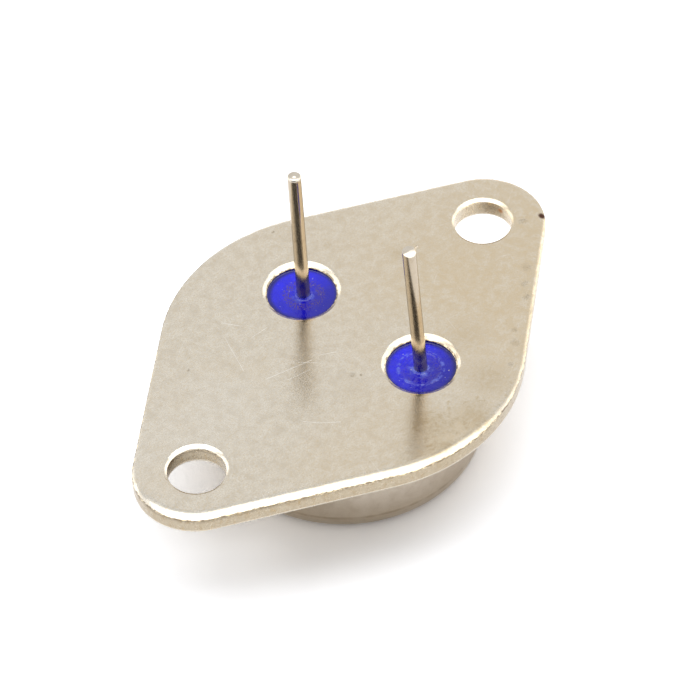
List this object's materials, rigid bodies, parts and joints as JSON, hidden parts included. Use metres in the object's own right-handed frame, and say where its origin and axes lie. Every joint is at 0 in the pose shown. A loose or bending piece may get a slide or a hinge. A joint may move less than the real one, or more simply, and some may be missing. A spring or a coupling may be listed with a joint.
{
  "type": "voltage regulator",
  "caption": "Metal-can voltage regulator: a diamond steel flange with mounting holes, leads in blue glass seals on one face and a round welded cap on the other.",
  "frame": {"origin": "centre of the seating face, the flat lead side of the flange, midway between the mounting holes", "axes": "+X through both mounting holes towards the end nearer the line of leads; +Z out of the seating face along the leads"},
  "size_m": [0.039, 0.0254, 0.0204],
  "materials": {
    "plated_steel": "satin nickel plate on cold-rolled steel, fine speckle, light scratches and brownish stains",
    "cap_steel": "satin nickel plate on drawn steel",
    "lead_alloy": "bright nickel plate on drawn nickel-iron wire",
    "seal_glass": "saturated blue sealing glass, glossy, with tiny bubbles",
    "copper": "plain copper",
    "braze_alloy": "silver-copper braze",
    "soft_solder": "dull soft solder",
    "silicon": "polished silicon with a plain metallised face",
    "bond_aluminium": "soft drawn aluminium wire"
  },
  "bodies": {
    "root": {"header_plate": "plated_steel", "input_glass_seal": "seal_glass", "output_glass_seal": "seal_glass", "input_lead": "lead_alloy", "output_lead": "lead_alloy", "cap": "cap_steel", "heat_spreader": "copper", "spreader_braze": "braze_alloy", "regulator_die": "silicon", "die_solder": "soft_solder", "input_bond_wire": "bond_aluminium", "ground_bond_wire": "bond_aluminium", "output_bond_wire": "bond_aluminium"}
  },
  "joints": []
}
